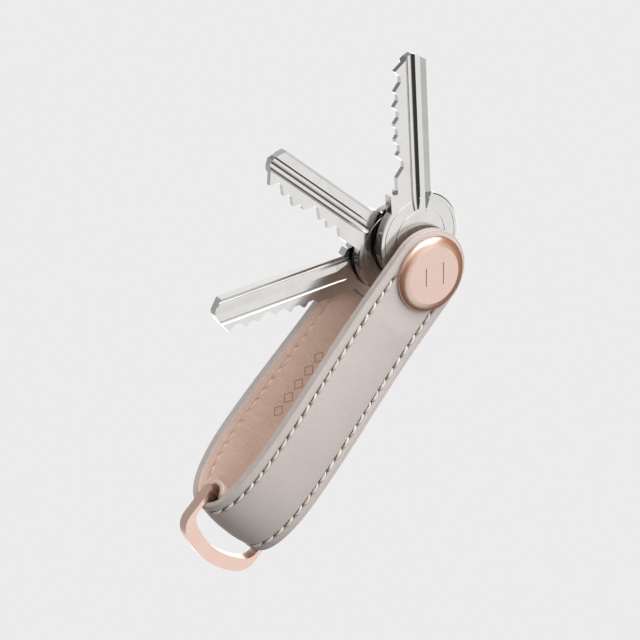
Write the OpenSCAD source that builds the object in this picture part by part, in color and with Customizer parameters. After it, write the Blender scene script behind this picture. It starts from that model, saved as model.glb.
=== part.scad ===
// Key organiser: a folded leather strap whose two ends are clamped on a post
// between two discs, with three keys fanned out on the post and a D-ring held
// in the bend. The post axis is Z, the rear disc's face is at z = 0, the strap
// runs along -X and the keys fan out towards +Y.

/* [Strap] */
// Width of the strap
strap_w = 20; // [18:0.5:24]
// Distance from the post axis to the outside of the bend
bend_reach = 72; // [68:1:80]
// Length of the curved part at the bend
bend_len = 18; // [15:0.5:20]
// Height that the front side bows up by before the bend
front_rise = 1.8; // [0:0.1:2.4]
// Thickness of the outer leather
outer_t = 1.1; // [0.8:0.1:1.4]
// Thickness of the lining
lining_t = 1; // [0.8:0.1:1.2]
// Height of the padded panel above the stitched edges
pad_rise = 0.5; // [0.5:0.1:0.6]
// Width of the padded panel
pad_w = 13.2; // [10:0.2:14]

/* [Stitching] */
// Distance from one stitch to the next
stitch_pitch = 3; // [2.6:0.1:4]
// Length of one stitch
stitch_len = 2.4; // [1.5:0.1:2.5]
// Thickness of the thread
thread_d = 0.45; // [0.35:0.05:0.5]
// Distance from the strap's edge to a row of stitches
stitch_inset = 2.5; // [2:0.1:3]

/* [Clamp] */
// Diameter of the two discs
disc_d = 17.7; // [16.5:0.1:19]
// Diameter of a disc's flat face
disc_face_d = 13.3; // [11:0.1:14]
// Thickness of a disc
disc_t = 1.9; // [1.7:0.1:2.4]
// Outside diameter of the post
post_d = 4.4; // [4.4:0.1:4.8]
// Thread diameter of the clamp screw
screw_d = 2.5; // [2:0.1:2.6]
// Thread pitch of the clamp screw
screw_pitch = 0.45; // [0.4:0.05:0.5]
// Width of the coin slot in the rear disc
coin_slot_w = 1.6; // [1.2:0.1:2]
// Thickness of one spacer
spacer_t = 0.95; // [0.8:0.05:1.2]
// Diameter of the spacers
spacer_d = 11; // [9:0.5:12]

/* [Keys] */
// Thickness of a key
key_t = 2.2; // [2:0.1:2.4]
// Radius of a key's round bow
bow_r = 10.6; // [10:0.1:11]
// Depth of the blade from its back to its uncut edge
blade_w = 8.8; // [8.4:0.1:9]
// Distance from one cut to the next
cut_pitch = 3.82; // [3.7:0.01:3.9]
// Gap between a key and the spacer beside it
key_play = 0.05; // [0.03:0.01:0.1]

/* [D-ring] */
// Outside width of the D-ring
ring_w = 23.2; // [23.2:0.1:24]
// Distance from the bar's axis to the outside of the D-ring's curve
ring_reach = 12.6; // [12:0.1:15]
// Thickness of the D-ring
ring_t = 2.6; // [2:0.1:2.8]
// Width of the D-ring's straight sides
ring_leg_w = 1.1; // [0.9:0.1:1.1]
// Width of the D-ring's curve at its middle
ring_bow_w = 3.3; // [2.4:0.1:4]
// Diameter of the D-ring's bar
bar_d = 2.4; // [2:0.1:2.4]

/* [Hidden] */
$fn = 96;
eps = 0.01;
tab_r = strap_w / 2;

// Levels up the post, from the rear disc's face to the front disc's face.
wave_t = 0.3;
rear_seam_z = disc_t + outer_t;
stack_z = rear_seam_z + lining_t;
key_step = spacer_t + key_t + 2 * key_play;
front_lining_z = stack_z + wave_t + 3 * key_step + spacer_t;
front_seam_z = front_lining_z + lining_t;
front_disc_z = front_seam_z + outer_t;
function spacer_z(i) = stack_z + wave_t + i * key_step;
function key_z(i) = spacer_z(i) + spacer_t + key_play;

// The seam between the two leathers, from the front tab round the bend to the
// rear tab. The rear side sags until its padded panel is level with the disc.
rest_z = outer_t + pad_rise;
crest_z = front_seam_z + front_rise;
end_x = outer_t - bend_reach;
mid_z = (crest_z + rest_z) / 2;
bend_x = end_x + bend_len;
pad_x = -disc_d / 2 - 2.2;
round_k = 0.56;
full_k = 0.66;
half_h = (crest_z - rest_z) / 2;

function curve(p, t) =
    let (u = 1 - t)
    u * u * u * p[0] + 3 * u * u * t * p[1] + 3 * u * t * t * p[2] + t * t * t * p[3];
function tangent(p, t) =
    let (u = 1 - t, d = u * u * (p[1] - p[0]) + 2 * u * t * (p[2] - p[1]) + t * t * (p[3] - p[2]))
    d / norm(d);
function sampled(p, n) =
    [for (i = [0 : n - 1]) let (t = i / n, d = tangent(p, t)) concat(curve(p, t), [d[1], -d[0]])];

front_run = [[pad_x, front_seam_z], [-25, front_seam_z], [-38, crest_z], [bend_x, crest_z]];
upper_bend = [
    [bend_x, crest_z], [bend_x - full_k * bend_len, crest_z],
    [end_x, mid_z + full_k * half_h], [end_x, mid_z]
];
lower_bend = [
    [end_x, mid_z], [end_x, mid_z - round_k * half_h],
    [bend_x - round_k * bend_len, rest_z], [bend_x, rest_z]
];
rear_run = [[bend_x, rest_z], [-38, rest_z], [-25, rear_seam_z], [pad_x, rear_seam_z]];
run_n = 10;
bend_n = 14;
seam = concat(
    [[tab_r, front_seam_z, 0, 1]],
    sampled(front_run, run_n), sampled(upper_bend, bend_n),
    sampled(lower_bend, bend_n), sampled(rear_run, run_n),
    [[pad_x, rear_seam_z, 0, -1], [tab_r, rear_seam_z, 0, -1]]
);
last = len(seam) - 1;
mid_i = 1 + run_n + bend_n;

// A strip of the strap between two distances from the seam, between two points of it.
function at(i, d) = [seam[i][0] + d * seam[i][2], seam[i][1] + d * seam[i][3]];
function strip_outline(d0, d1, i0, i1) =
    concat([for (i = [i0 : i1]) at(i, d0)], [for (i = [i1 : -1 : i0]) at(i, d1)]);

module strip(d0, d1, w, i0 = 0, i1 = last) {
    rotate([90, 0, 0])
        linear_extrude(height = w, center = true)
            polygon(strip_outline(d0, d1, i0, i1));
}

module tab_plan() {
    translate([0, 0, -5])
        linear_extrude(height = front_disc_z + 10)
            union() {
                circle(r = tab_r);
                translate([-bend_reach - 5, -tab_r])
                    square([bend_reach + 5, strap_w]);
            }
}

module post_hole(d) {
    translate([0, 0, -1])
        cylinder(d = d, h = front_disc_z + 2);
}

// The padded panel runs from beside the front disc round to beside the rear disc.
pad_i0 = 1;
pad_i1 = last - 1;
filler_gap = 8;
plate_t = 0.4;
plate_d = 16;

// Near the bend the lining leaves the outer leather to form a tunnel for the D-ring's bar.
bar_x = end_x + 3.2;
bar_z = mid_z + 1.5;
tunnel_x = end_x + 2.6;
tunnel_z = bar_z + 0.4;
tunnel_r = 2.7;

module loop_inside() {
    rotate([90, 0, 0])
        linear_extrude(height = strap_w + 4, center = true)
            polygon([for (p = seam) [p[0], p[1]]]);
}

module tunnel(r, w) {
    intersection() {
        translate([tunnel_x, 0, tunnel_z])
            rotate([90, 0, 0])
                cylinder(r = r, h = w, center = true);
        loop_inside();
    }
}

module outer_leather() {
    color("#CFC6C2")
        difference() {
            intersection() {
                union() {
                    strip(0, outer_t, strap_w);
                    strip(outer_t / 2, outer_t + pad_rise, pad_w, pad_i0, pad_i1);
                }
                tab_plan();
            }
            filler_space();
            end_plate_space();
            post_hole(post_d);
        }
}

module lining_leather() {
    color("#C4A391")
        difference() {
            union() {
                intersection() {
                    strip(-lining_t, 0, strap_w);
                    tab_plan();
                }
                tunnel(tunnel_r + lining_t, strap_w);
            }
            tunnel(tunnel_r, strap_w + 2);
            post_hole(post_d);
        }
}

module filler_space() {
    front_filler_shape();
    rear_filler_shape();
}

module front_filler_shape() {
    strip(0, pad_rise, pad_w - 1, pad_i0, mid_i - filler_gap);
}

module rear_filler_shape() {
    strip(0, pad_rise, pad_w - 1, mid_i + filler_gap, pad_i1);
}

module end_plate(z) {
    translate([0, 0, z])
        difference() {
            cylinder(d = plate_d, h = plate_t);
            translate([0, 0, -1])
                cylinder(d = post_d, h = plate_t + 2);
        }
}

module end_plate_space() {
    translate([0, 0, front_seam_z])
        cylinder(d = plate_d, h = plate_t);
    translate([0, 0, rear_seam_z - plate_t])
        cylinder(d = plate_d, h = plate_t);
}

module front_filler() {
    color("#8C8580") front_filler_shape();
}

module rear_filler() {
    color("#8C8580") rear_filler_shape();
}

module front_end_plate() {
    color("silver") end_plate(front_seam_z);
}

module rear_end_plate() {
    color("silver") end_plate(rear_seam_z - plate_t);
}

// Lengths along the seam, so that the stitches can be spaced evenly round the bend.
function step_len(i) = norm([seam[i + 1][0] - seam[i][0], seam[i + 1][1] - seam[i][1]]);
function run_len(i) = i == 0 ? 0 : run_len(i - 1) + step_len(i - 1);
lengths = [for (i = [0 : last]) run_len(i)];
function column(k) = [for (i = [0 : last]) [lengths[i], seam[i][k]]];
seam_x = column(0);
seam_z = column(1);
seam_nx = column(2);
seam_nz = column(3);
bend_s = lengths[mid_i];
outer_gap = 1.6;
lining_gap = 7.5;
row_start = tab_r + 8;

// Each stitch lies on the leather, on the outside (side = 1) or on the lining (side = -1).
module stitch(s, y, side) {
    nx = lookup(s, seam_nx);
    nz = lookup(s, seam_nz);
    reach = side > 0 ? outer_t + thread_d / 2 : -lining_t - thread_d / 2;
    translate([lookup(s, seam_x) + reach * nx, y, lookup(s, seam_z) + reach * nz])
        rotate([0, atan2(nx, nz), 0])
            cube([stitch_len, thread_d, thread_d], center = true);
}

// The stitches from one end of the strap towards the bend. The last ones near the
// bend show only on the outside, because the tunnel is behind them.
module stitch_row(y, rear) {
    reach = bend_s - row_start;
    color("#D8D3BC")
        for (side = [-1, 1])
            for (i = [0 : floor((reach - (side > 0 ? outer_gap : lining_gap)) / stitch_pitch)])
                stitch(rear ? lengths[last] - row_start - i * stitch_pitch : row_start + i * stitch_pitch, y, side);
}

row_y = strap_w / 2 - stitch_inset;

module stitch_front_left() {
    stitch_row(row_y, false);
}

module stitch_front_right() {
    stitch_row(-row_y, false);
}

module stitch_rear_left() {
    stitch_row(row_y, true);
}

module stitch_rear_right() {
    stitch_row(-row_y, true);
}

// A disc whose wide edge slopes softly down from a flat face. Its flat back is at z = 0.
disc_rim_h = 0.6;
rim_bottom_r = disc_d / 2 - 0.25;
slope = [
    [disc_face_d / 2, disc_t], [disc_face_d / 2 + 0.9, disc_t - 0.25],
    [disc_d / 2 - 0.1, disc_rim_h + 0.75], [disc_d / 2, disc_rim_h]
];
slope_n = 14;

module disc_blank() {
    rotate_extrude($fn = 128)
        polygon(concat(
            [[0, 0], [rim_bottom_r, 0], [disc_d / 2, disc_rim_h]],
            [for (i = [slope_n - 1 : -1 : 0]) curve(slope, i / slope_n)],
            [[0, disc_t]]
        ));
}

post_seat = 0.9;
emblem_r = 2.6;

module front_disc() {
    color("#DDB39C")
        translate([0, 0, front_disc_z])
            difference() {
                disc_blank();
                translate([0, 0, -1])
                    cylinder(d = post_d, h = post_seat + 1);
                translate([0, 0, disc_t - 0.15])
                    rotate([0, 0, 45])
                        difference() {
                            translate([-emblem_r, -emblem_r, 0])
                                cube([2 * emblem_r, 2 * emblem_r, 1]);
                            translate([-emblem_r + 0.5, -emblem_r + 0.5, -1])
                                cube([2 * emblem_r - 1, 2 * emblem_r - 1, 3]);
                        }
            }
}

screw_play = 0.05;
post_z = disc_t + 0.5;
post_top_z = front_disc_z + post_seat;

module barrel_post() {
    color("#B9B4AE")
        difference() {
            translate([0, 0, post_z])
                cylinder(d = post_d, h = post_top_z - post_z);
            translate([0, 0, post_z - 1])
                cylinder(d = screw_d + 2 * screw_play, h = post_top_z - post_z - 0.5);
        }
}

washer_d = 8;
washer_t = 0.3;
screw_seat_z = 0.8;
thread_len = 5.4;
screw_top_z = post_z + thread_len;
thread_depth = 0.2;

module rear_disc() {
    color("#DDB39C")
        difference() {
            translate([0, 0, disc_t])
                mirror([0, 0, 1])
                    disc_blank();
            translate([0, 0, screw_seat_z])
                cylinder(d = screw_d, h = disc_t);
            translate([0, 0, disc_t - washer_t])
                cylinder(d = washer_d + 0.1, h = 1);
            translate([-disc_face_d / 2 + 1.5, -coin_slot_w / 2, -1])
                cube([disc_face_d - 3, coin_slot_w, 1.5]);
        }
}

// The thread is drawn as rings.
module clamp_screw() {
    ring_n = floor((screw_top_z - post_z - 1) / screw_pitch);
    color("#A9A6A2") {
        translate([0, 0, screw_seat_z])
            cylinder(d = screw_d, h = post_z - screw_seat_z);
        translate([0, 0, post_z])
            cylinder(d = screw_d - 2 * thread_depth, h = screw_top_z - post_z);
        for (i = [0 : ring_n])
            translate([0, 0, post_z + (i + 0.5) * screw_pitch])
                cylinder(d = screw_d, h = screw_pitch / 2);
    }
}

module ring(d, hole_d, h, z) {
    translate([0, 0, z])
        difference() {
            cylinder(d = d, h = h);
            translate([0, 0, -1])
                cylinder(d = hole_d, h = h + 2);
        }
}

module thrust_washer() {
    color("#C9C5BE") ring(washer_d, screw_d + 2 * screw_play, washer_t, disc_t - washer_t);
}

module wave_washer() {
    color("#C9C5BE") ring(9, post_d, wave_t, stack_z);
}

module spacer(i) {
    color("#3A3A3C") ring(spacer_d, post_d, spacer_t, spacer_z(i));
}

module spacer_1() {
    spacer(0);
}

module spacer_2() {
    spacer(1);
}

module spacer_3() {
    spacer(2);
}

module spacer_4() {
    spacer(3);
}

// Keys. Each lies along +X from the post, with its cuts towards +Y.
first_cut = 4.9;
cut_flat = 1.3;
cut_slope = 1.05;
cutter_r = 18;
groove_run = 4.5;
bow_edge = 0.25;
hole_play = 0.06;
ledge_y = 5.4;
ledge_depth = 1;
far = 60;

// One V-shaped cut with a flat root, taken from the blade's uncut edge.
module cut(x, top_y, depth) {
    half = cut_flat / 2;
    spread = half + (depth + 1) * cut_slope;
    translate([x, top_y, -1])
        linear_extrude(height = key_t + 2)
            polygon([[-half, -depth], [half, -depth], [spread, 1], [-spread, 1]]);
}

// Turns a shape made for the top face over to the bottom face.
module on_face(top) {
    flip = top ? 0 : 1;
    translate([0, 0, flip * key_t])
        mirror([0, 0, flip])
            translate([0, 0, key_t])
                children();
}

// A round-bottomed groove along the blade. The milling cutter leaves its end curved.
module round_groove(x0, y, w, depth, top = true) {
    r = (w * w / 4 + depth * depth) / (2 * depth);
    on_face(top)
        translate([x0, y, 0]) {
            translate([0, 0, r - depth])
                rotate([0, 90, 0])
                    cylinder(r = r, h = far);
            translate([0, 0, cutter_r - depth])
                rotate([90, 0, 0])
                    rotate_extrude($fn = 128)
                        translate([cutter_r - r, 0])
                            circle(r = r - eps);
        }
}

module prism(outline, length) {
    rotate([90, 0, 90])
        linear_extrude(height = length)
            polygon(outline);
}

// A flat-sided groove along the blade that slopes up to its end. It is deepest at y0
// and rises to y1.
module vee_groove(x0, y0, y1, depth, top = true) {
    away = y1 > y0 ? 1 : -1;
    inset = away * eps;
    run_out = groove_run * 1.2;
    on_face(top)
        translate([x0, 0, 0]) {
            prism([[y0, 0], [y0, -depth], [y1, 0], [y1 + away, 1], [y0 - 0.2 * away, 1]], far);
            rotate([0, atan(depth / groove_run), 0])
                translate([-run_out, inset, 0])
                    prism([[y0, 0], [y0, -depth], [y1, 0], [y1 + away, 1], [y0, 1]], run_out + 0.1);
        }
}

// The step that thins the back face along the cuts.
module ledge(x0, y) {
    on_face(false)
        translate([x0, y, 0])
            prism([[-0.3, 1], [0, 0], [0.5, -ledge_depth], [far, -ledge_depth], [far, 1]], far);
}

module bow(x, y) {
    translate([x, y, 0]) {
        cylinder(r1 = bow_r - bow_edge, r2 = bow_r, h = bow_edge);
        translate([0, 0, bow_edge])
            cylinder(r = bow_r, h = key_t - 2 * bow_edge);
        translate([0, 0, key_t - bow_edge])
            cylinder(r1 = bow_r, r2 = bow_r - bow_edge, h = bow_edge);
    }
}

// A shallow ring pressed into both faces of the bow.
module bow_ring(x, y, r, w, depth) {
    for (z = [-1, key_t - depth])
        translate([x, y, z])
            difference() {
                cylinder(r = r, h = 1 + depth);
                translate([0, 0, -1])
                    cylinder(r = r - w, h = 4);
            }
}

// The blade's side view, from its shoulder tabs to its bevelled tip. Each tab is
// given as how far it reaches along the blade and how far it stands out from it.
module blade_plan(bow_x, y0, tip_x, cut_tab, back_tab) {
    y1 = y0 + blade_w;
    linear_extrude(height = key_t)
        polygon([
            [bow_x, y0 - back_tab[1]], [back_tab[0], y0 - back_tab[1]], [back_tab[0] + 1, y0],
            [tip_x - 1.9, y0], [tip_x - 0.2, y0 + 2.4], [tip_x, y0 + 3.2], [tip_x - 0.5, y0 + 4.6],
            [tip_x - 3, y1 - 0.4], [tip_x - 3.6, y1], [cut_tab[0], y1],
            [cut_tab[0], y1 + cut_tab[1]], [bow_x, y1 + cut_tab[1]]
        ]);
}

module key_blank(bow_at, y0, tip_x, cut_tab, back_tab, cuts) {
    difference() {
        union() {
            bow(bow_at[0], bow_at[1]);
            blade_plan(bow_at[0], y0, tip_x, cut_tab, back_tab);
        }
        translate([0, 0, -1])
            cylinder(r = post_d / 2 + hole_play, h = key_t + 2);
        for (i = [0 : len(cuts) - 1])
            cut(tip_x - first_cut - i * cut_pitch, y0 + blade_w, cuts[i]);
        ledge(20, y0 + ledge_y);
        bow_ring(bow_at[0], bow_at[1], 6.9, 0.5, 0.12);
        bow_ring(bow_at[0], bow_at[1], 9.6, 0.3, 0.1);
        children();
    }
}

// Turns a key to its place in the fan.
module fanned(i, angle) {
    color("#D9D9D6")
        translate([0, 0, key_z(i)])
            rotate([0, 0, angle])
                children();
}

// Directions of the keys in the fan, from +X towards +Y.
angle_1 = 48;
angle_2 = 95;
angle_3 = 139.6;

module key_1() {
    fanned(2, angle_1)
        key_blank([7.4, 0], -3.5, 49.7, [19.3, 1.9], [16.8, 0.7], [2, 1.1, 1.1, 0.7, 1, 1.9]) {
            round_groove(18.5, 0.6, 2.4, 0.65);
            vee_groove(17.6, -1.9, -3.7, 0.6);
            round_groove(20, -1.2, 1.8, 0.45, false);
        }
}

module key_2() {
    fanned(1, angle_2)
        key_blank([6.1, -1.1], -4.7, 48.1, [20.5, 0], [17.1, 0.7], [2.3, 1.4, 1, 2.6, 1.3, 1.6]) {
            round_groove(20.5, -0.4, 2, 0.6);
            vee_groove(20.5, -2, -2.35, 0.2);
            vee_groove(20.5, -4.2, -5, 0.25);
            round_groove(20.5, -2.4, 1.8, 0.45, false);
        }
}

module key_3() {
    fanned(0, angle_3)
        key_blank([4.6, -2.5], -6.2, 49.3, [18, 0], [14.8, 1.3], [1.9, 1.3, 2.1, 1.4, 1, 0.9]) {
            vee_groove(18, -4.6, -3, 0.5);
            vee_groove(18, -5.2, -6.4, 0.3);
            round_groove(18.5, -0.7, 1, 0.3);
            round_groove(20, -2.4, 1.8, 0.4, false);
        }
}

// The D-ring lies across the strap's end: a thin straight side past each edge of
// the strap and a wide curve beyond the bend, joined by round corners. It is turned
// a little in the bend, with its far corner further out.
ring_r = 22;
ring_corner = 4.5;
inner_r = 20.4;
inner_corner = 3;
ring_skew = 3;

module d_plan(w, reach, big_r, corner) {
    far_x = bar_x - reach;
    corner_y = w / 2 - corner;
    corner_x = far_x + big_r - sqrt(pow(big_r - corner, 2) - pow(corner_y, 2));
    spread = 3 * [far_x + big_r - corner_x, corner_y];
    intersection() {
        translate([far_x + big_r, 0])
            circle(r = big_r, $fn = 200);
        translate([far_x + big_r, 0])
            polygon([[0, 0], [-spread[0], -spread[1]], [-spread[0], spread[1]]]);
    }
    for (side = [-1, 1])
        translate([corner_x, side * corner_y])
            circle(r = corner);
    translate([corner_x, -w / 2])
        square([bar_x - corner_x, w]);
}

module d_ring() {
    color("#B98467")
        translate([bar_x, 0, 0])
            rotate([0, 0, -ring_skew])
                translate([-bar_x, 0, 0])
                    straight_ring();
}

module straight_ring() {
    inner_w = ring_w - 2 * ring_leg_w;
    union() {
        difference() {
            union() {
                translate([0, 0, bar_z - ring_t / 2])
                    linear_extrude(height = ring_t)
                        d_plan(ring_w, ring_reach, ring_r, ring_corner);
                translate([bar_x, 0, bar_z])
                    rotate([90, 0, 0])
                        cylinder(d = ring_t, h = ring_w, center = true);
            }
            translate([0, 0, bar_z - ring_t])
                linear_extrude(height = 2 * ring_t)
                    d_plan(inner_w, ring_reach - ring_bow_w, inner_r, inner_corner);
            translate([bar_x - ring_t, -inner_w / 2, bar_z - ring_t])
                cube([3 * ring_t, inner_w, 2 * ring_t]);
        }
        translate([bar_x, 0, bar_z])
            rotate([90, 0, 0])
                cylinder(d = bar_d, h = inner_w + 1, center = true);
    }
}

outer_leather();
lining_leather();
front_filler();
rear_filler();
front_end_plate();
rear_end_plate();
stitch_front_left();
stitch_front_right();
stitch_rear_left();
stitch_rear_right();
front_disc();
barrel_post();
rear_disc();
clamp_screw();
thrust_washer();
wave_washer();
spacer_1();
spacer_2();
spacer_3();
spacer_4();
key_1();
key_2();
key_3();
d_ring();
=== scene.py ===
import math

import bpy
import numpy as np
from mathutils import Matrix, Vector, noise


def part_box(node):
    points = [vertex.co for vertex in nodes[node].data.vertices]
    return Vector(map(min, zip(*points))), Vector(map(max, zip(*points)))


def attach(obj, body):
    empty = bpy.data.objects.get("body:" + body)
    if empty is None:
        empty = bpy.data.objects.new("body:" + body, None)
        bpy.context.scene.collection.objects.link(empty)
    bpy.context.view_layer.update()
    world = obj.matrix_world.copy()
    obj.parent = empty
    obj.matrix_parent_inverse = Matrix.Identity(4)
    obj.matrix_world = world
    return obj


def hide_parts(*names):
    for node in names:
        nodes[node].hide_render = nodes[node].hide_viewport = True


# A key organiser: a stitched leather loop, two rose-gold discs, three keys and a D-ring.
# Lengths in the settings are millimetres, and the frame is in metres.
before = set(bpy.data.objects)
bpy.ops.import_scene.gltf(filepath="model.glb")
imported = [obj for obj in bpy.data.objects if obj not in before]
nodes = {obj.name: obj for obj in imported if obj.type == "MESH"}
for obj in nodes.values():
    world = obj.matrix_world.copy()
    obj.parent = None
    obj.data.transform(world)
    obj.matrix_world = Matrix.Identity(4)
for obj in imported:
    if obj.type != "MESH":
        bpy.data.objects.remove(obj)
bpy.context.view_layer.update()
mm = 0.001
print("frame loaded,", len(nodes), "CAD nodes")


def hexColour(code):
    parts = [int(code[i : i + 2], 16) / 255 for i in (1, 3, 5)]
    return [c / 12.92 if c <= 0.04045 else ((c + 0.055) / 1.055) ** 2.4 for c in parts] + [1.0]


def perMm(size):
    return 1 / (size * mm)  # texture scale of a pattern that repeats every so many millimetres


def addNode(tree, kind, settings=None, links=None):
    node = tree.nodes.new(kind)
    for key, value in (settings or {}).items():
        if isinstance(key, int) or key in node.inputs:
            node.inputs[key].default_value = value
        else:
            setattr(node, key, value)
    for key, source in (links or {}).items():
        tree.links.new(
            source.outputs[0] if hasattr(source, "outputs") else source,
            node.inputs[key],
        )
    return node


def startMaterial(name):
    material = bpy.data.materials.new(name)
    material.use_nodes = True
    material.node_tree.nodes.clear()
    return material, material.node_tree


def endMaterial(tree, settings, links):
    surface = addNode(tree, "ShaderNodeBsdfPrincipled", settings, links)
    addNode(tree, "ShaderNodeOutputMaterial", None, {"Surface": surface})


# The camera comes first, so that every piece is judged through it.
cameraSettings = {
    "location": (-0.0473, 0.2669, 0.3127),
    "right": (0.5771, -0.6010, 0.5530),
    "up": (0.8140, 0.4748, -0.3336),
    "lens": 101.5,
    "sensor": 36,
    "nearest": 0.01,
}


def makeCamera(settings):
    data = bpy.data.cameras.new("studioCamera")
    data.lens = settings["lens"]
    data.sensor_width = settings["sensor"]
    data.clip_start = settings["nearest"]
    camera = bpy.data.objects.new("studioCamera", data)
    right = Vector(settings["right"]).normalized()
    back = right.cross(Vector(settings["up"])).normalized()
    up = back.cross(right)
    turn = Matrix((right, up, back)).transposed()
    camera.matrix_world = Matrix.Translation(settings["location"]) @ turn.to_4x4()
    bpy.context.scene.collection.objects.link(camera)
    bpy.context.scene.camera = camera


makeCamera(cameraSettings)
print("camera made")


outerLeather = {
    "base": "#D3C9C4",
    "shade": "#C2B8B2",
    "grainMm": 0.42,
    "poreMm": 0.16,
    "cloudMm": 9.0,
    "poreShare": 0.35,
    "roughness": 0.5,
    "shadow": "#5E5546",
}


# Full-grain calf, pigmented stone grey and lightly milled:
# soft matt sheen over a fine pebble grain.
def makeOuterLeather(s):
    material, tree = startMaterial("calf_leather_stone_grey")
    place = addNode(tree, "ShaderNodeTexCoord").outputs["Object"]
    grain = addNode(
        tree,
        "ShaderNodeTexVoronoi",
        {
            "feature": "SMOOTH_F1",
            "Scale": perMm(s["grainMm"]),
            "Smoothness": 0.6,
            "Randomness": 1.0,
        },
        {"Vector": place},
    )
    pores = addNode(
        tree,
        "ShaderNodeTexNoise",
        {"Scale": perMm(s["poreMm"]), "Detail": 3.0},
        {"Vector": place},
    )
    clouds = addNode(
        tree,
        "ShaderNodeTexNoise",
        {"Scale": perMm(s["cloudMm"]), "Detail": 4.0},
        {"Vector": place},
    )
    height = addNode(tree, "ShaderNodeMath", {"operation": "MULTIPLY_ADD", 1: s["poreShare"]},
                     {0: pores.outputs["Fac"], 2: grain.outputs["Distance"]})
    patch = addNode(
        tree,
        "ShaderNodeMapRange",
        {"From Min": 0.35, "From Max": 0.65, "To Min": 0.0, "To Max": 0.2},
        {"Value": clouds.outputs["Fac"]},
    )
    pits = addNode(
        tree,
        "ShaderNodeMapRange",
        {"From Min": 0.2, "From Max": 0.75, "To Min": 0.0, "To Max": 0.35},
        {"Value": grain.outputs["Distance"]},
    )
    shade = addNode(
        tree,
        "ShaderNodeMath",
        {"operation": "ADD", "use_clamp": True},
        {0: patch, 1: pits},
    )
    colour = addNode(
        tree,
        "ShaderNodeMix",
        {"data_type": "RGBA", 6: hexColour(s["base"]), 7: hexColour(s["shade"])},
        {0: shade},
    )
    # painted shade along the stitch groove: the leather beside the threads is darkened towards the
    # shadow colour
    paintedGrooveShade = addNode(tree, "ShaderNodeAttribute", {"attribute_name": "paintedGrooveShade"})
    dark = addNode(
        tree,
        "ShaderNodeMix",
        {"data_type": "RGBA", 7: hexColour(s["shadow"])},
        {0: paintedGrooveShade.outputs["Fac"], 6: colour.outputs[2]},
    )
    rough = addNode(tree, "ShaderNodeMapRange",
                    {"To Min": s["roughness"] - 0.06, "To Max": s["roughness"] + 0.08},
                    {"Value": clouds.outputs["Fac"]})
    bump = addNode(
        tree,
        "ShaderNodeBump",
        {"Strength": 0.32, "Distance": 0.05 * mm},
        {"Height": height},
    )
    endMaterial(tree, {"Specular IOR Level": 0.45, "Sheen Weight": 0.06, "Sheen Roughness": 0.5},
                {"Base Color": dark.outputs[2], "Roughness": rough, "Normal": bump})
    return material


edgePaint = {
    "colour": "#D6CDC8",
    "shade": "#C6BCB6",
    "waveMm": 2.2,
    "speckMm": 0.5,
    "speckShare": 0.2,
}


# Acrylic edge paint, brushed on in coats and hot-burnished: smooth, a little glossy, faintly wavy.
def makeEdgePaint(s):
    material, tree = startMaterial("acrylic_edge_paint_burnished")
    place = addNode(tree, "ShaderNodeTexCoord").outputs["Object"]
    wave = addNode(
        tree,
        "ShaderNodeTexNoise",
        {"Scale": perMm(s["waveMm"]), "Detail": 2.0},
        {"Vector": place},
    )
    speck = addNode(
        tree,
        "ShaderNodeTexNoise",
        {"Scale": perMm(s["speckMm"]), "Detail": 3.0},
        {"Vector": place},
    )
    colour = addNode(tree, "ShaderNodeMix",
                     {"data_type": "RGBA", 6: hexColour(s["colour"]), 7: hexColour(s["shade"])},
                     {0: wave.outputs["Fac"]})
    rough = addNode(
        tree,
        "ShaderNodeMapRange",
        {"To Min": 0.34, "To Max": 0.48},
        {"Value": speck.outputs["Fac"]},
    )
    height = addNode(tree, "ShaderNodeMath", {"operation": "MULTIPLY_ADD", 1: s["speckShare"]},
                     {0: speck.outputs["Fac"], 2: wave.outputs["Fac"]})
    bump = addNode(
        tree,
        "ShaderNodeBump",
        {"Strength": 0.25, "Distance": 0.05 * mm},
        {"Height": height},
    )
    endMaterial(tree, {"Coat Weight": 0.15, "Coat Roughness": 0.3},
                {"Base Color": colour.outputs[2], "Roughness": rough, "Normal": bump})
    return material


liningLeather = {
    "base": "#EDD8CA",
    "shade": "#D2B5A3",
    "pressed": "#BC9984",
    "grainMm": 0.3,
    "creaseMm": 0.42,
    "creaseLengthMm": 3.2,
    "cloudMm": 6.0,
    "cloudShare": 0.45,
    "creaseShare": 0.3,
    "grainShare": 0.25,
    "pressDepth": 2.5,
    "lozengePitch": 3.8,
    "lozengeHalf": 1.45,
    "lozengeLine": 0.2,
    "lozengeRow": 0.4,
    "lozengeFirst": 37.0,
    "lozengeCount": 5,
}


# The lozenges are measured along the lining from the end of its rear tab.
def pressLozenges(tree, along, s):
    pitch, span = s["lozengePitch"] * mm, s["lozengeCount"] * s["lozengePitch"] * mm
    first = (liningAt[-1] - s["lozengeFirst"]) * mm - span
    spot = addNode(tree, "ShaderNodeSeparateXYZ", None, {"Vector": along})
    down = addNode(
        tree,
        "ShaderNodeMath",
        {"operation": "SUBTRACT", 1: first},
        {0: spot.outputs["X"]},
    )
    shifted = addNode(tree, "ShaderNodeMath", {"operation": "ADD", 1: pitch / 2}, {0: down})
    wave = addNode(tree, "ShaderNodeMath", {"operation": "PINGPONG", 1: pitch / 2}, {0: shifted})
    side = addNode(
        tree,
        "ShaderNodeMath",
        {"operation": "SUBTRACT", 1: s["lozengeRow"] * mm},
        {0: spot.outputs["Y"]},
    )
    reach = addNode(
        tree,
        "ShaderNodeMath",
        {"operation": "ADD"},
        {0: wave, 1: addNode(tree, "ShaderNodeMath", {"operation": "ABSOLUTE"}, {0: side})},
    )
    line = addNode(
        tree,
        "ShaderNodeMath",
        {"operation": "COMPARE", 1: s["lozengeHalf"] * mm, 2: s["lozengeLine"] * mm},
        {0: reach},
    )
    within = addNode(
        tree,
        "ShaderNodeMath",
        {"operation": "COMPARE", 1: span / 2, 2: span / 2},
        {0: down},
    )
    return addNode(tree, "ShaderNodeMath", {"operation": "MULTIPLY"}, {0: line, 1: within})


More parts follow.
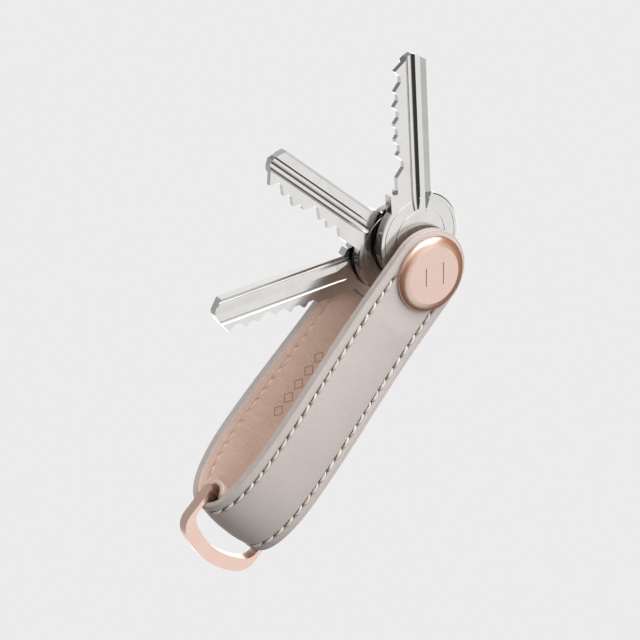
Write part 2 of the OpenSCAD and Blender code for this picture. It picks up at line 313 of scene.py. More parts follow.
# Aniline sheepskin lining, drummed soft: blush, matt, with hairline creases across the strap
# and a short row of blind-pressed lozenges where the rear half lies open.
def makeLiningLeather(s):
    material, tree = startMaterial("sheepskin_lining_blush")
    place = addNode(tree, "ShaderNodeTexCoord").outputs["Object"]
    # U runs along the strap and V across it, in metres
    along = addNode(tree, "ShaderNodeTexCoord").outputs["UV"]
    squeeze = addNode(
        tree,
        "ShaderNodeMapping",
        {"Scale": (perMm(s["creaseMm"]), perMm(s["creaseLengthMm"]), 1.0)},
        {"Vector": along},
    )
    hairlines = addNode(
        tree,
        "ShaderNodeTexNoise",
        {"Scale": 1.0, "Detail": 4.0, "Roughness": 0.6, "Distortion": 0.4},
        {"Vector": squeeze},
    )
    grain = addNode(
        tree,
        "ShaderNodeTexVoronoi",
        {"feature": "SMOOTH_F1", "Scale": perMm(s["grainMm"])},
        {"Vector": place},
    )
    clouds = addNode(
        tree,
        "ShaderNodeTexNoise",
        {"Scale": perMm(s["cloudMm"]), "Detail": 3.0},
        {"Vector": place},
    )
    crease = addNode(
        tree,
        "ShaderNodeMapRange",
        {"From Min": 0.38, "From Max": 0.62},
        {"Value": hairlines.outputs["Fac"]},
    )
    faint = addNode(
        tree,
        "ShaderNodeMath",
        {"operation": "MULTIPLY", 1: s["creaseShare"]},
        {0: crease},
    )
    tone = addNode(
        tree,
        "ShaderNodeMath",
        {"operation": "MULTIPLY_ADD", 1: s["cloudShare"], "use_clamp": True},
        {0: clouds.outputs["Fac"], 2: faint},
    )
    colour = addNode(
        tree,
        "ShaderNodeMix",
        {"data_type": "RGBA", 6: hexColour(s["base"]), 7: hexColour(s["shade"])},
        {0: tone},
    )
    pressed = pressLozenges(tree, along, s)
    tinted = addNode(tree, "ShaderNodeMix", {"data_type": "RGBA", 7: hexColour(s["pressed"])},
                     {0: pressed, 6: colour.outputs[2]})
    skin = addNode(tree, "ShaderNodeMath", {"operation": "MULTIPLY_ADD", 1: s["grainShare"]},
                   {0: grain.outputs["Distance"], 2: crease})
    height = addNode(
        tree,
        "ShaderNodeMath",
        {"operation": "MULTIPLY_ADD", 1: -s["pressDepth"]},
        {0: pressed, 2: skin},
    )
    bump = addNode(
        tree,
        "ShaderNodeBump",
        {"Strength": 0.5, "Distance": 0.08 * mm},
        {"Height": height},
    )
    endMaterial(tree, {"Roughness": 0.62, "Specular IOR Level": 0.35, "Sheen Weight": 0.1},
                {"Base Color": tinted.outputs[2], "Normal": bump})
    return material


threadLook = {"base": "#F4F0E7", "shade": "#CDC6B4", "fibreMm": 0.09}
bobbinLook = {"base": "#EACDBC", "shade": "#CBA793", "fibreMm": 0.09}


# Bonded polyester thread, two-ply and waxed: cream on the outer leather and blush
# on the lining, slightly shiny, with fine fibres.
def makeThread(name, s):
    material, tree = startMaterial(name)
    place = addNode(tree, "ShaderNodeTexCoord").outputs["Object"]
    fibre = addNode(
        tree,
        "ShaderNodeTexNoise",
        {"Scale": perMm(s["fibreMm"]), "Detail": 2.0},
        {"Vector": place},
    )
    tone = addNode(
        tree,
        "ShaderNodeMapRange",
        {"From Min": 0.3, "From Max": 0.7, "To Min": 0.0, "To Max": 0.6},
        {"Value": fibre.outputs["Fac"]},
    )
    colour = addNode(
        tree,
        "ShaderNodeMix",
        {"data_type": "RGBA", 6: hexColour(s["base"]), 7: hexColour(s["shade"])},
        {0: tone},
    )
    bump = addNode(
        tree,
        "ShaderNodeBump",
        {"Strength": 0.4, "Distance": 0.03 * mm},
        {"Height": fibre.outputs["Fac"]},
    )
    endMaterial(tree, {"Roughness": 0.5, "Sheen Weight": 0.2},
                {"Base Color": colour.outputs[2], "Normal": bump})
    return material


roseGold = {
    "colour": "#D49A70",
    "wear": "#DBA57E",
    "blastMm": 0.14,
    "cloudMm": 5.0,
    "roughness": 0.72,
    "coat": 0.18,
    "coatIor": 4.0,
}
plating = {
    "colour": "#CC9272",
    "wear": "#D6A182",
    "blastMm": 0.3,
    "cloudMm": 5.0,
    "roughness": 0.36,
    "coat": 0.14,
    "coatIor": 3.6,
}


# Aluminium, bead-blasted and anodised rose gold, and on the D-ring plated zinc alloy:
# a tinted satin metal under a hard clear skin.
def makeRoseGold(name, s):
    material, tree = startMaterial(name)
    place = addNode(tree, "ShaderNodeTexCoord").outputs["Object"]
    blast = addNode(
        tree,
        "ShaderNodeTexNoise",
        {"Scale": perMm(s["blastMm"]), "Detail": 4.0},
        {"Vector": place},
    )
    cloud = addNode(
        tree,
        "ShaderNodeTexNoise",
        {"Scale": perMm(s["cloudMm"]), "Detail": 3.0},
        {"Vector": place},
    )
    tone = addNode(tree, "ShaderNodeMapRange", {"From Min": 0.35, "From Max": 0.65, "To Max": 0.5},
                   {"Value": cloud.outputs["Fac"]})
    colour = addNode(
        tree,
        "ShaderNodeMix",
        {"data_type": "RGBA", 6: hexColour(s["colour"]), 7: hexColour(s["wear"])},
        {0: tone},
    )
    rough = addNode(tree, "ShaderNodeMapRange",
                    {"To Min": s["roughness"] - 0.05, "To Max": s["roughness"] + 0.05},
                    {"Value": blast.outputs["Fac"]})
    bump = addNode(
        tree,
        "ShaderNodeBump",
        {"Strength": 0.12, "Distance": 0.02 * mm},
        {"Height": blast.outputs["Fac"]},
    )
    endMaterial(
        tree,
        {
            "Metallic": 1.0,
            "Coat Weight": 1.0,
            "Coat Roughness": s["coat"],
            "Coat IOR": s["coatIor"],
        },
        {"Base Color": colour.outputs[2], "Roughness": rough, "Normal": bump},
    )
    return material


nickel = {
    "colour": "#CDCCCA",
    "worn": "#BBB7AF",
    "scratchMm": 0.12,
    "scratchLengthMm": 9.0,
    "cloudMm": 4.0,
    "roughness": 0.13,
}


# Brass key blank, nickel-plated: bright, with hairline scratches along the blade
# and a warmer tone where it is worn.
def makeNickel(name, angle, s):
    material, tree = startMaterial(name)
    place = addNode(tree, "ShaderNodeTexCoord").outputs["Object"]
    turned = addNode(
        tree,
        "ShaderNodeMapping",
        {"vector_type": "TEXTURE", "Rotation": (0, 0, math.radians(angle))},
        {"Vector": place},
    )
    stretched = addNode(
        tree,
        "ShaderNodeMapping",
        {"Scale": (perMm(s["scratchLengthMm"]), perMm(s["scratchMm"]), perMm(s["scratchMm"]))},
        {"Vector": turned},
    )
    scratch = addNode(
        tree,
        "ShaderNodeTexNoise",
        {"Scale": 1.0, "Detail": 3.0},
        {"Vector": stretched},
    )
    cloud = addNode(
        tree,
        "ShaderNodeTexNoise",
        {"Scale": perMm(s["cloudMm"]), "Detail": 4.0},
        {"Vector": place},
    )
    tone = addNode(
        tree,
        "ShaderNodeMapRange",
        {"From Min": 0.45, "From Max": 0.75, "To Max": 0.35},
        {"Value": cloud.outputs["Fac"]},
    )
    colour = addNode(
        tree,
        "ShaderNodeMix",
        {"data_type": "RGBA", 6: hexColour(s["colour"]), 7: hexColour(s["worn"])},
        {0: tone},
    )
    rough = addNode(
        tree,
        "ShaderNodeMapRange",
        {
            "From Min": 0.3,
            "From Max": 0.7,
            "To Min": s["roughness"] - 0.04,
            "To Max": s["roughness"] + 0.1,
        },
        {"Value": scratch.outputs["Fac"]},
    )
    bump = addNode(
        tree,
        "ShaderNodeBump",
        {"Strength": 0.08, "Distance": 0.02 * mm},
        {"Height": scratch.outputs["Fac"]},
    )
    endMaterial(tree, {"Metallic": 1.0},
                {"Base Color": colour.outputs[2], "Roughness": rough, "Normal": bump})
    return material


steel = {
    "colour": "#B9B6B0",
    "worn": "#98948D",
    "latheMm": 0.09,
    "cloudMm": 2.5,
    "roughness": 0.28,
}
waveRate = 20  # a wave texture runs through this many radians per unit


# Stainless steel, turned on a lathe: fine rings round the axis and a soft gleam.
def makeSteel(s):
    material, tree = startMaterial("stainless_steel_turned")
    place = addNode(tree, "ShaderNodeTexCoord").outputs["Object"]
    rings = addNode(
        tree,
        "ShaderNodeTexWave",
        {
            "wave_type": "RINGS",
            "rings_direction": "Z",
            "Scale": perMm(s["latheMm"]) / waveRate,
            "Distortion": 1.0,
        },
        {"Vector": place},
    )
    tone = addNode(
        tree,
        "ShaderNodeTexNoise",
        {"Scale": perMm(s["cloudMm"]), "Detail": 3.0},
        {"Vector": place},
    )
    colour = addNode(
        tree,
        "ShaderNodeMix",
        {"data_type": "RGBA", 6: hexColour(s["colour"]), 7: hexColour(s["worn"])},
        {0: tone.outputs["Fac"]},
    )
    bump = addNode(
        tree,
        "ShaderNodeBump",
        {"Strength": 0.2, "Distance": 0.01 * mm},
        {"Height": rings.outputs["Fac"]},
    )
    endMaterial(tree, {"Metallic": 1.0, "Roughness": s["roughness"]},
                {"Base Color": colour.outputs[2], "Normal": bump})
    return material


acetal = {"colour": "#2B2B2D", "worn": "#3C3B3A", "grainMm": 0.25}


# Acetal spacer, moulded black: low sheen with a fine moulded grain.
def makeAcetal(s):
    material, tree = startMaterial("acetal_moulded_black")
    place = addNode(tree, "ShaderNodeTexCoord").outputs["Object"]
    grain = addNode(
        tree,
        "ShaderNodeTexNoise",
        {"Scale": perMm(s["grainMm"]), "Detail": 3.0},
        {"Vector": place},
    )
    colour = addNode(
        tree,
        "ShaderNodeMix",
        {"data_type": "RGBA", 6: hexColour(s["colour"]), 7: hexColour(s["worn"])},
        {0: grain.outputs["Fac"]},
    )
    bump = addNode(
        tree,
        "ShaderNodeBump",
        {"Strength": 0.3, "Distance": 0.03 * mm},
        {"Height": grain.outputs["Fac"]},
    )
    endMaterial(tree, {"Roughness": 0.45}, {"Base Color": colour.outputs[2], "Normal": bump})
    return material


# The strap's path is the line between the two leathers, seen from the side.
strap = {
    "halfWidth": 10.0,
    "bendReach": 72.0,
    "bendLength": 18.0,
    "frontRise": 1.8,
    "outer": 1.1,
    "lining": 1.0,
    "padRise": 0.5,
    "fill": 0.8,
    "glueGap": 0.01,
    "padStart": -11.05,
    "tabEnd": -25.0,
    "slopeEnd": -38.0,
    "curvePoints": 200,
    "roundHandle": 0.56,
    "fullHandle": 0.66,
    "hole": 2.22,
    "pathStep": 0.1,
    "ribStep": 0.3,
    "tabRibs": 44,
    "innerShares": (0.0, 0.35, 0.7, 1.0),
    "weld": 0.002,
    "bareReach": 9.0,
}


def bezier(points, count):
    t = np.linspace(0, 1, count, endpoint=False)[:, None]
    a, b, c, d = (np.array(p, float) for p in points)
    u = 1 - t
    return u**3 * a + 3 * u * u * t * b + 3 * u * t * t * c + t**3 * d


def resample(points, step):
    lengths = np.concatenate([[0], np.cumsum(np.linalg.norm(np.diff(points, axis=0), axis=1))])
    at = np.linspace(0, lengths[-1], int(round(lengths[-1] / step)) + 1)
    return np.stack([np.interp(at, lengths, points[:, k]) for k in (0, 1)], 1), at


def withNormals(points):
    slope = np.gradient(points, axis=0)
    slope /= np.linalg.norm(slope, axis=1)[:, None]
    return np.stack([slope[:, 1], -slope[:, 0]], 1)


def seamLine(s):
    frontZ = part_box("front_end_plate")[0].z / mm
    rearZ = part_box("rear_end_plate")[1].z / mm
    crest, rest = frontZ + s["frontRise"], s["outer"] + s["padRise"]
    endX = s["outer"] - s["bendReach"]
    bendX, midZ, half = endX + s["bendLength"], (crest + rest) / 2, (crest - rest) / 2
    full, soft, pad = s["fullHandle"], s["roundHandle"], s["padStart"]
    tab, slope = s["tabEnd"], s["slopeEnd"]
    runs = [
        [(pad, frontZ), (tab, frontZ), (slope, crest), (bendX, crest)],
        [
            (bendX, crest),
            (bendX - full * s["bendLength"], crest),
            (endX, midZ + full * half),
            (endX, midZ),
        ],
        [
            (endX, midZ),
            (endX, midZ - soft * half),
            (bendX - soft * s["bendLength"], rest),
            (bendX, rest),
        ],
        [(bendX, rest), (slope, rest), (tab, rearZ), (pad, rearZ)],
    ]
    points = [np.array([[s["halfWidth"], frontZ]])]
    points += [bezier(run, s["curvePoints"]) for run in runs]
    points += [np.array([[pad, rearZ], [s["halfWidth"], rearZ]])]
    return np.concatenate(points)


seam, seamAt = resample(seamLine(strap), strap["pathStep"])
seamNormals = withNormals(seam)
seamLength = seamAt[-1]
bendAt = seamAt[np.argmin(seam[:, 0])]

# The lining leaves the outer leather at the bend and passes round the D-ring's bar.
tunnel = {
    "x": -68.3,
    "z": 11.6,
    "radius": 2.5,
    "margin": 0.12,
    "arcPoints": 160,
    "blend": 1.1,
    "tail": 3,
    "full": 1.6,
    "ease": 3.2,
}


def liningLine(s):
    centre, step = np.array([s["x"], s["z"]]), strap["pathStep"]
    near = np.linalg.norm(seam - centre, axis=1)
    inside = np.where(near < s["radius"] + s["margin"])[0]
    first, last = inside[0], inside[-1]
    a0 = math.atan2(*(seam[first] - centre)[::-1])
    a1 = math.atan2(*(seam[last] - centre)[::-1])
    if a1 > a0:
        a1 -= 2 * math.pi
    turn = np.linspace(a0, a1, s["arcPoints"])
    arc = centre + s["radius"] * np.stack([np.cos(turn), np.sin(turn)], 1)
    line, at = resample(np.concatenate([seam[:first], arc, seam[last + 1 :]]), step)
    smooth = line.copy()
    reach = int(s["blend"] / step * s["tail"])
    weights = np.exp(-0.5 * (np.arange(-reach, reach + 1) * step / s["blend"]) ** 2)
    weights /= weights.sum()
    for k in (0, 1):
        padded = np.pad(line[:, k], reach, mode="reflect", reflect_type="odd")
        smooth[:, k] = np.convolve(padded, weights, "valid")
    away = np.minimum(
        np.abs(at - seamAt[first]),
        np.abs(at - (at[-1] - (seamLength - seamAt[last]))),
    )
    share = np.clip(s["full"] - away / (s["ease"] * s["blend"]), 0, 1)[:, None]
    line = line * (1 - share) + smooth * share
    return resample(line, step)


liningPath, liningAt = liningLine(tunnel)
liningNormals = withNormals(liningPath)


leatherMaterial = makeOuterLeather(outerLeather)
edgeMaterial = makeEdgePaint(edgePaint)
liningMaterial = makeLiningLeather(liningLeather)
threadMaterial = makeThread("bonded_polyester_thread_cream", threadLook)
bobbinMaterial = makeThread("bonded_polyester_thread_blush", bobbinLook)
print("materials made")


def smoothstep(x, low, high):
    t = np.clip((x - low) / (high - low), 0, 1)
    return t * t * (3 - 2 * t)


# The strap doesn't fold quite square: its right side reaches further and stands a little higher.
fold = {
    "skew": 0.09,
    "low": 0.35,
    "lowZ": (1.0, 9.0),
    "lift": 0.02,
    "highZ": (6.0, 14.0),
    "from": 18.0,
    "to": 66.0,
}


def onPath(path, normals, at, s, y, d):
    x, z = np.interp(s, at, path[:, 0]), np.interp(s, at, path[:, 1])
    nx, nz = np.interp(s, at, normals[:, 0]), np.interp(s, at, normals[:, 1])
    share = smoothstep(-x, fold["from"], fold["to"])
    raised = fold["lift"] * (strap["halfWidth"] - y) * share * smoothstep(z, *fold["highZ"])
    skew = fold["skew"] * (fold["low"] + (1 - fold["low"]) * smoothstep(z, *fold["lowZ"]))
    return np.stack([x + d * nx + skew * y * share, y + 0 * x, z + d * nz + raised], -1)


# Where every stitch and needle hole is, measured along the seam.
stitching = {
    "inset": 2.5,
    "pitch": 3.0,
    "slant": -0.2,
    "start": 18.0,
    "outerGap": 1.6,
    "liningGap": 7.5,
    "channel": 0.24,
    "channelWidth": 0.5,
    "toneWidth": 0.42,
    "dimple": 0.34,
    "dimpleSize": 0.3,
    "tabFade": (1.5, 3.5),
    "bendFade": (1.2, 2.4),
}


def stitchCentres(gap):
    count = int((bendAt - gap - stitching["start"]) // stitching["pitch"])
    front = stitching["start"] + stitching["pitch"] * np.arange(count + 1)
    return front, seamLength - front[::-1]


outerStitches = stitchCentres(stitching["outerGap"])
liningStitches = stitchCentres(stitching["liningGap"])


def needleHoles(rows):
    half = stitching["pitch"] / 2
    return np.concatenate([np.append(row - half, row[-1] + half) for row in rows])


def inRow(s, rows):
    front, rear = rows
    tabNear, tabFar = stitching["tabFade"]
    bendNear, bendFar = stitching["bendFade"]
    frontOn = smoothstep(s, front[0] - tabFar, front[0] - tabNear)
    frontOff = smoothstep(s, front[-1] + bendNear, front[-1] + bendFar)
    rearOn = smoothstep(s, rear[0] - bendFar, rear[0] - bendNear)
    rearOff = smoothstep(s, rear[-1] + tabNear, rear[-1] + tabFar)
    return frontOn * (1 - frontOff) + rearOn * (1 - rearOff)


def channelDepth(s, e, rows, width):
    off = e - stitching["inset"]
    nearest = np.min(np.abs(s[..., None] - needleHoles(rows)), axis=-1)
    groove = stitching["channel"] * np.exp(-((off / width) ** 2)) * inRow(s, rows)
    size = stitching["dimpleSize"]
    return groove + stitching["dimple"] * np.exp(-((nearest / size) ** 2) - (off / size) ** 2)


# Leather sheets are built from ribs that run inwards from the edge,
# round each tab and along both sides.
def ribPlan(length, s):
    half, hole = s["halfWidth"], s["hole"]
    turns = np.linspace(0, math.pi / 2, s["tabRibs"], endpoint=False)
    tab = [(half, -math.cos(a), math.sin(a), half - hole) for a in turns]
    count = int((length - 2 * half) / s["ribStep"])
    straight = []
    for at in np.linspace(half, length - half, count + 1):
        off = min(at - half, length - half - at)
        inner = math.sqrt(hole**2 - off**2) if off < hole else 0.0
        straight.append((at, 0.0, 1.0, half - inner))
    ribs = tab + straight
    ribs += [(length - half, -dx, dy, reach) for at, dx, dy, reach in tab[::-1]]
    return np.array(ribs)


# Distances from the edge at which a rib has its points, closer together at the seam.
edgeSteps = [
    0.0, 0.03, 0.08, 0.15, 0.24, 0.34, 0.43, 0.52, 0.62, 0.8, 1.1,
    1.45, 1.75, 1.95, 2.1, 2.22, 2.34, 2.46, 2.58, 2.7, 2.84, 3.0,
    3.2, 3.45, 3.75, 4.1, 4.5, 5.0, 5.6, 6.3, 7.0,
]


def sheetMesh(name, length, topAt, bottomAt, place, s, materials, edge, rows):
    ribs = ribPlan(length, s)
    roundTop, roundBottom = edge["roundTop"], edge["roundBottom"]
    half = s["halfWidth"]
    steps = np.array(edgeSteps)
    innerShares = np.array(s["innerShares"])
    verts, faces, kinds, flat, dark = [], [], [], [], []
    count = len(ribs)
    for side in (1, -1):
        base = len(verts)
        lines = []
        for at, dx, dy, reach in ribs:
            e = np.concatenate([steps[:-1], steps[-1] + (reach - steps[-1]) * innerShares])
            es = np.concatenate([e[::-1], e])
            sAt = at + dx * (half - es)
            y = side * dy * (half - es)
            top = np.arange(len(es)) < len(e)
            upper, lower = topAt(sAt, es, y), bottomAt(sAt, es, y)
            cutTop = roundTop - np.sqrt(
                np.clip(roundTop**2 - np.clip(roundTop - es, 0, None) ** 2, 0, None)
            )
            cutLow = roundBottom - np.sqrt(
                np.clip(roundBottom**2 - np.clip(roundBottom - es, 0, None) ** 2, 0, None)
            )
            d = np.where(top, upper - cutTop, lower + cutLow)
            lines.append(place(sAt, y, d))
            flat.append(np.stack([sAt, y], 1))
            # painted shade along each stitch row, kept as a point attribute for the leather's
            # colour
            tone = np.exp(-(((es - stitching["inset"]) / stitching["toneWidth"]) ** 4))
            dark.append(tone * inRow(sAt, rows))
        rowLen = len(lines[0])
        verts += [p for line in lines for p in line]
        for i in range(count - 1):
            for j in range(rowLen - 1):
                a = base + i * rowLen + j
                quad = (a, a + rowLen, a + rowLen + 1, a + 1)
                faces.append(quad if side > 0 else quad[::-1])
                edgeDistance = len(e) - 1 - j if j < len(e) else j - len(e)
                bare = edge["bareFrom"] < ribs[i][0] < edge["bareTo"]
                painted = edge["paintTop"] if j >= len(e) - 1 else edge["paintBottom"]
                kinds.append(1 if edgeDistance <= painted and not bare else 0)
            if ribs[i][3] < half and ribs[i + 1][3] < half:  # the wall of the post's hole
                a, b = base + i * rowLen, base + (i + 1) * rowLen
                quad = (a, a + rowLen - 1, b + rowLen - 1, b)
                faces.append(quad if side > 0 else quad[::-1])
                kinds.append(1)
    mesh = bpy.data.meshes.new(name)
    mesh.from_pydata([tuple(np.array(p) * mm) for p in verts], [], faces)
    for m in materials:
        mesh.materials.append(m)
    mesh.polygons.foreach_set("material_index", kinds)
    mesh.polygons.foreach_set("use_smooth", [True] * len(faces))
    uv = mesh.uv_layers.new(name="flat")
    flat = np.concatenate(flat) * mm
    corner = np.zeros(len(mesh.loops), int)
    mesh.loops.foreach_get("vertex_index", corner)
    uv.data.foreach_set("uv", flat[corner].astype(np.float32).ravel())
    paintedGrooveShade = mesh.attributes.new("paintedGrooveShade", "FLOAT", "POINT")
    paintedGrooveShade.data.foreach_set("value", np.concatenate(dark).astype(np.float32))
    piece = bpy.data.objects.new(name, mesh)
    bpy.context.scene.collection.objects.link(piece)
    weld = piece.modifiers.new("weld", "WELD")
    weld.merge_threshold = s["weld"] * mm
    return piece


def rumple(s, y, size, seed):
    out = np.zeros(np.broadcast(s, y).shape)
    for index in np.ndindex(out.shape):
        out[index] = noise.noise(Vector((s[index] / size, y[index] / size, seed)))
    return out


padLook = {
    "rise": 0.62,
    "from": 2.6,
    "to": 9.6,
    "power": 2.2,
    "fade": (-15.5, -9.2),
    "rumple": 0.05,
    "rumpleSize": 7.0,
    "rumpleSeed": 3.1,
}
rimLook = {
    "roll": 0.06,
    "rollAt": 1.3,
    "rollWidth": 0.5,
    "line": 0.1,
    "lineAt": 0.46,
    "lineWidth": 0.12,
}


def outerTop(s, e, y):
    x = np.interp(s, seamAt, seam[:, 0])
    fade = 1 - smoothstep(x, *padLook["fade"])
    across = np.clip((e - padLook["from"]) / (padLook["to"] - padLook["from"]), 0, 1)
    pad = padLook["rise"] * (1 - (1 - across) ** padLook["power"])
    roll = rimLook["roll"] * np.exp(-(((e - rimLook["rollAt"]) / rimLook["rollWidth"]) ** 2))
    roll -= rimLook["line"] * np.exp(-(((e - rimLook["lineAt"]) / rimLook["lineWidth"]) ** 2))
    wave = padLook["rumple"] * rumple(s, y, padLook["rumpleSize"], padLook["rumpleSeed"]) * fade
    channel = channelDepth(s, e, outerStitches, stitching["channelWidth"])
    return strap["outer"] + pad * fade + roll - channel + wave


def outerBottom(s, e, y):
    return np.zeros_like(s) + strap["glueGap"]


outerEdge = {
    "roundTop": 0.34,
    "roundBottom": 0.05,
    "paintTop": 4,
    "paintBottom": 3,
    "bareFrom": 0,
    "bareTo": 0,
}
outerPiece = sheetMesh(
    "outer_leather_sheet", seamLength, outerTop, outerBottom,
    lambda s, y, d: onPath(seam, seamNormals, seamAt, s, y, d),
    strap, [leatherMaterial, edgeMaterial], outerEdge, outerStitches)
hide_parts("outer_leather", "front_filler", "rear_filler")
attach(outerPiece, "strap")
print("outer leather made, cut", round(seamLength, 1), "mm long")

creases = {
    "depth": 0.07,
    "across": 0.8,
    "along": 4.0,
    "wander": 1.2,
    "wanderSize": 6.0,
    "reach": 34.0,
    "ends": (0.3, 1.0),
    "seeds": (9.0, 1.7),
}
liningRow = {"width": 0.35, "depth": 0.7}  # its groove, against the outer one's
liningExtra = liningAt[-1] - seamLength


def liningInner(s, e, y):
    middle = bendAt + liningExtra / 2
    onSeam = np.where(s < middle, np.minimum(s, bendAt), np.maximum(s - liningExtra, bendAt))
    sink = channelDepth(onSeam, e, liningStitches, liningRow["width"]) * liningRow["depth"]
    bend = np.exp(-(((s - bendAt - liningExtra / 2) / creases["reach"]) ** 2))
    size = creases["wanderSize"]
    wanderSeed, creaseSeed = creases["seeds"]
    crease = np.zeros_like(s)
    for index in np.ndindex(s.shape):
        spot = Vector((s[index] / size, y[index] / size, wanderSeed))
        along = (s[index] + noise.noise(spot) * creases["wander"]) / creases["across"]
        crease[index] = noise.noise(Vector((along, y[index] / creases["along"], creaseSeed)))
    ends = smoothstep(e, *creases["ends"])
    return -strap["lining"] + sink + creases["depth"] * crease * bend * ends


def liningOuter(s, e, y):
    return np.zeros_like(s) - strap["glueGap"]


liningEdge = {
    "roundTop": 0.05,
    "roundBottom": 0.3,
    "paintTop": 3,
    "paintBottom": 0,
    "bareFrom": bendAt - strap["bareReach"],
    "bareTo": bendAt + liningExtra + strap["bareReach"],
}
liningPiece = sheetMesh(
    "lining_sheet", liningAt[-1], liningOuter, liningInner,
    lambda s, y, d: onPath(liningPath, liningNormals, liningAt, s, y, d),
    strap, [liningMaterial, edgeMaterial], liningEdge, liningStitches)
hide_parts("lining_leather")
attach(liningPiece, "strap")
print("lining made, cut", round(liningAt[-1], 1), "mm long")


# Every stitch is a short two-ply length of thread that dives into its needle holes.
threadShape = {
    "steps": 14,
    "around": 10,
    "dive": 0.42,
    "divePower": 3.4,
    "taper": 0.55,
    "taperPower": 2.6,
    "ply": 0.18,
    "lay": 3.2,
    "drift": 0.4,
    "flat": 0.8,
}
threadSides = {
    "outer": {
        "side": 1,
        "skin": "outer",
        "length": 2.6,
        "radius": 0.33,
        "lift": 0.1,
        "rows": outerStitches,
    },
    "lining": {
        "side": -1,
        "skin": "lining",
        "length": 2.1,
        "radius": 0.23,
        "lift": 0.12,
        "rows": liningStitches,
    },
}


def threadStitch(centre, y, index, s):
    shape = threadShape
    steps, around = shape["steps"], shape["around"]
    verts = []
    for i in range(steps + 1):
        t = i / steps
        end = abs(2 * t - 1)
        lift = s["lift"] - shape["dive"] * end ** shape["divePower"]
        thick = s["radius"] * (1 - shape["taper"] * end ** shape["taperPower"])
        for j in range(around):
            angle = 2 * math.pi * j / around
            twist = angle - shape["lay"] * t + shape["drift"] * index
            ply = 1 + shape["ply"] * math.cos(2 * twist)
            sway = stitching["slant"] * (2 * t - 1)
            along = centre + (t - 0.5) * s["length"]
            across = y + sway + thick * ply * math.cos(angle)
            up = lift + shape["flat"] * thick * ply * math.sin(angle)
            verts.append((along, across, up))
    faces = []
    for i in range(steps):
        for j in range(around):
            a, b = i * around + j, i * around + (j + 1) % around
            faces.append((a, b, b + around, a + around))
    faces.append(tuple(range(around))[::-1])
    faces.append(tuple(steps * around + j for j in range(around)))
    return verts, faces


def stitchRow(name, end, y, node):
    verts, faces, kinds = [], [], []
    for kind, s in enumerate(threadSides.values()):
        for index, centre in enumerate(s["rows"][end]):
            part, partFaces = threadStitch(centre, y, index, s)
            part = np.array(part)
            d = s["side"] * (strap[s["skin"]] + part[:, 2])
            base = len(verts)
            verts += list(onPath(seam, seamNormals, seamAt, part[:, 0], part[:, 1], d))
            for face in partFaces:
                ordered = face if s["side"] > 0 else face[::-1]
                faces.append(tuple(base + k for k in ordered))
            kinds += [kind] * len(partFaces)
    mesh = bpy.data.meshes.new(name)
    mesh.from_pydata([tuple(np.array(p) * mm) for p in verts], [], faces)
    mesh.materials.append(threadMaterial)
    mesh.materials.append(bobbinMaterial)
    mesh.polygons.foreach_set("material_index", kinds)
    mesh.polygons.foreach_set("use_smooth", [True] * len(faces))
    piece = bpy.data.objects.new(name, mesh)
    bpy.context.scene.collection.objects.link(piece)
    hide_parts(node)
    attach(piece, "strap")


rowY = strap["halfWidth"] - stitching["inset"]
for end, where in enumerate(("front", "rear")):
    for hand, side in (("left", 1), ("right", -1)):
        stitchRow(f"thread_{where}_{hand}", end, side * rowY, f"stitch_{where}_{hand}")
print("stitches made")


# The CAD parts keep their shape and get their finish.
def dress(node, material):
    piece = nodes[node]
    piece.data.materials.clear()
    piece.data.materials.append(material)


discMaterial = makeRoseGold("aluminium_blasted_rose_gold", roseGold)
ringMaterial = makeRoseGold("zinc_alloy_plated_rose_gold", plating)
steelMaterial = makeSteel(steel)
acetalMaterial = makeAcetal(acetal)
for node in ("front_disc", "rear_disc"):
    dress(node, discMaterial)
dress("d_ring", ringMaterial)
for node in (
    "barrel_post",
    "clamp_screw",
    "thrust_washer",
    "wave_washer",
    "front_end_plate",
    "rear_end_plate",
):
    dress(node, steelMaterial)
for i in (1, 2, 3, 4):
    dress(f"spacer_{i}", acetalMaterial)
keyAngles = {1: 48, 2: 95, 3: 139.6}  # degrees from the frame's x axis, for the scratches
for i, angle in keyAngles.items():
    dress(f"key_{i}", makeNickel(f"brass_nickel_plated_{i}", angle, nickel))
print("CAD parts dressed")


studio = {
    "backdrop": "#ECECEC",
    "floorBelow": 120,
    "floorSize": 20.0,
    "floorDim": 0.12,
    "skyDim": 0.07,
    "middle": (-0.02, 0.01, 0.01),
}


# Pools of light painted on the floor as glow that all but camera rays see, in metres: what the
# undersides and the disc's far rim see.
floorPools = {
    "behind": {"at": (0.05, -0.15, -0.12), "inner": 0.1, "outer": 0.3, "strength": 2.0},
    "near": {"at": (-0.13, 0.06, -0.12), "inner": 0.08, "outer": 0.3, "strength": 0.5},
}


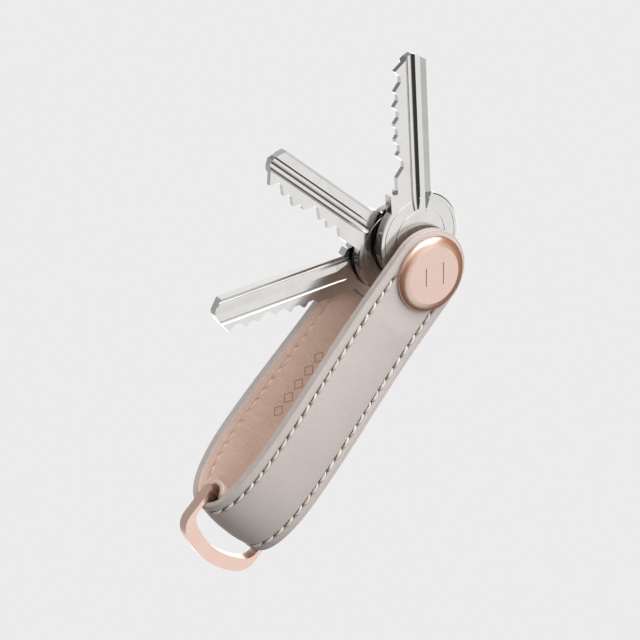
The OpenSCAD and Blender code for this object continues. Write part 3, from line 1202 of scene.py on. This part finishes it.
def makeFloor(s, pools):
    size = s["floorSize"]
    corners = [(-size, -size, 0), (size, -size, 0), (size, size, 0), (-size, size, 0)]
    mesh = bpy.data.meshes.new("studioFloor")
    mesh.from_pydata(corners, [], [(0, 1, 2, 3)])
    material, tree = startMaterial("pale_backdrop_painted_light_pools")
    place = addNode(tree, "ShaderNodeNewGeometry").outputs["Position"]
    spill = addNode(tree, "ShaderNodeValue")
    spill.outputs[0].default_value = s["floorDim"]
    for pool in pools.values():
        away = addNode(
            tree,
            "ShaderNodeVectorMath",
            {"operation": "DISTANCE", 1: pool["at"]},
            {0: place},
        )
        patch = addNode(
            tree,
            "ShaderNodeMapRange",
            {
                "interpolation_type": "SMOOTHSTEP",
                "From Min": pool["inner"],
                "From Max": pool["outer"],
                "To Min": pool["strength"],
                "To Max": 0.0,
            },
            {"Value": away.outputs["Value"]},
        )
        spill = addNode(tree, "ShaderNodeMath", {"operation": "ADD"}, {0: spill, 1: patch})
    # camera rays see the even backdrop colour; all other rays see the painted glow and its pools
    # of light
    path = addNode(tree, "ShaderNodeLightPath")
    level = addNode(tree, "ShaderNodeMix", {3: 1.0}, {0: path.outputs["Is Camera Ray"], 2: spill})
    glow = addNode(
        tree,
        "ShaderNodeEmission",
        {"Color": hexColour(s["backdrop"])},
        {"Strength": level},
    )
    addNode(tree, "ShaderNodeOutputMaterial", None, {"Surface": glow})
    mesh.materials.append(material)
    floor = bpy.data.objects.new("studioFloor", mesh)
    floor.location.z = -s["floorBelow"] * mm
    bpy.context.scene.collection.objects.link(floor)


# Broad soft boxes painted on the sky: each fades in between two values
# of the cosine to its middle.
skyBoxes = {
    "top": {"toward": (0.04, -0.58, 0.81), "from": 0.80, "to": 0.95, "strength": 1.38},
    "right": {"toward": (0.66, 0.30, 0.69), "from": 0.62, "to": 0.95, "strength": 1.15},
    "front": {"toward": (0.25, 0.93, 0.25), "from": 0.35, "to": 0.95, "strength": 0.9},
}


def makeWorld(s, boxes):
    world = bpy.data.worlds.new("studioWorld")
    bpy.context.scene.world = world
    world.use_nodes = True
    tree = world.node_tree
    tree.nodes.clear()
    direction = addNode(tree, "ShaderNodeTexCoord").outputs["Generated"]
    total = addNode(tree, "ShaderNodeValue")
    total.outputs[0].default_value = s["skyDim"]
    for box in boxes.values():
        middle = tuple(Vector(box["toward"]).normalized())
        toward = addNode(
            tree,
            "ShaderNodeVectorMath",
            {"operation": "DOT_PRODUCT", 1: middle},
            {0: direction},
        )
        lobe = addNode(
            tree,
            "ShaderNodeMapRange",
            {
                "interpolation_type": "SMOOTHSTEP",
                "From Min": box["from"],
                "From Max": box["to"],
                "To Max": box["strength"],
            },
            {"Value": toward.outputs["Value"]},
        )
        total = addNode(tree, "ShaderNodeMath", {"operation": "ADD"}, {0: total, 1: lobe})
    path = addNode(tree, "ShaderNodeLightPath")
    level = addNode(tree, "ShaderNodeMix", {3: 1.0}, {0: path.outputs["Is Camera Ray"], 2: total})
    sky = addNode(
        tree,
        "ShaderNodeBackground",
        {"Color": hexColour(s["backdrop"])},
        {"Strength": level},
    )
    addNode(tree, "ShaderNodeOutputWorld", None, {"Surface": sky})


lights = {
    "key": {"toward": (0.80, 0.24, 0.55), "distance": 240, "size": (260, 260), "radiance": 1.7},
}


def makeLights(middle, plan):
    for name, s in plan.items():
        data = bpy.data.lights.new(name, "AREA")
        data.shape = "RECTANGLE"
        data.size, data.size_y = s["size"][0] * mm, s["size"][1] * mm
        data.energy = s["radiance"] * math.pi * data.size * data.size_y
        light = bpy.data.objects.new(name, data)
        away = Vector(s["toward"]).normalized()
        light.location = Vector(middle) + away * s["distance"] * mm
        light.rotation_mode = "QUATERNION"
        light.rotation_quaternion = (-away).to_track_quat("-Z", "Y")
        light.visible_camera = False
        bpy.context.scene.collection.objects.link(light)


makeFloor(studio, floorPools)
makeWorld(studio, skyBoxes)
makeLights(studio["middle"], lights)
bpy.context.scene.view_settings.view_transform = "Standard"
print("studio made")
